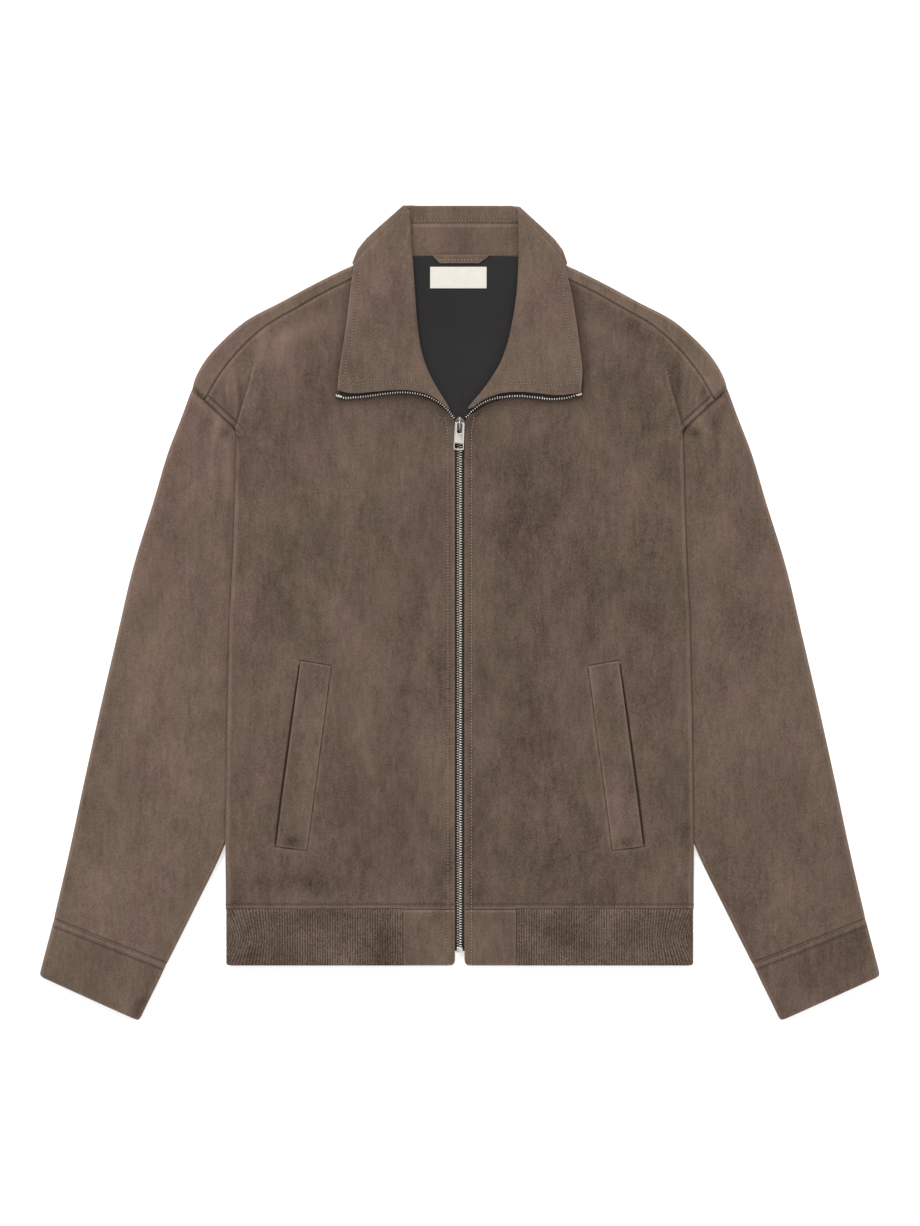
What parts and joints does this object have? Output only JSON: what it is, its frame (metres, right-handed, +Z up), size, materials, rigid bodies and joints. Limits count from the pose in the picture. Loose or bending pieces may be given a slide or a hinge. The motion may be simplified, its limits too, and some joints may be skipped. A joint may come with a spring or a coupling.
{
  "type": "suede jacket",
  "caption": "Suede zip jacket lying flat on its back, with a spread collar, dropped shoulders, slanted welt pockets, suede cuffs and a ribbed hem band.",
  "frame": {"origin": "centre of the flat garment's plan outline, on the surface that it lies on", "axes": "+Z up from the surface, out of the garment's front; +Y from the hem to the collar; +X to the wearer's left"},
  "size_m": [0.8192, 0.7943, 0.0135],
  "materials": {
    "suede": "napped taupe suede",
    "rib": "ribbed knit",
    "lining": "smooth black twill",
    "label": "plain woven patch",
    "zip_tape": "woven tape",
    "zip_metal": "polished nickel"
  },
  "bodies": {
    "jacket": {"back_panel": "suede", "front_left": "suede", "front_right": "suede", "sleeve_left": "suede", "sleeve_right": "suede", "cuff_left": "suede", "cuff_right": "suede", "collar": "suede", "collar_band": "suede", "back_lining": "lining", "hanger_tab": "suede", "label": "label", "pocket_welt_left": "suede", "pocket_welt_right": "suede", "hem_tab_left": "suede", "hem_tab_right": "suede", "hem_rib": "rib", "zip_tape_left": "zip_tape", "zip_tape_right": "zip_tape", "zip_slider": "zip_metal", "zip_box": "zip_metal", "zip_stop_left": "zip_metal", "zip_stop_right": "zip_metal"},
    "pull_tab": {"pull_tab": "zip_metal"}
  },
  "joints": [
    {"name": "pull_tab_swing", "type": "hinge", "parent": "jacket", "child": "pull_tab", "pos_m": [0, 0.184, 0.009], "axis": [-1, 0, 0], "range_deg": [0, 150]}
  ]
}
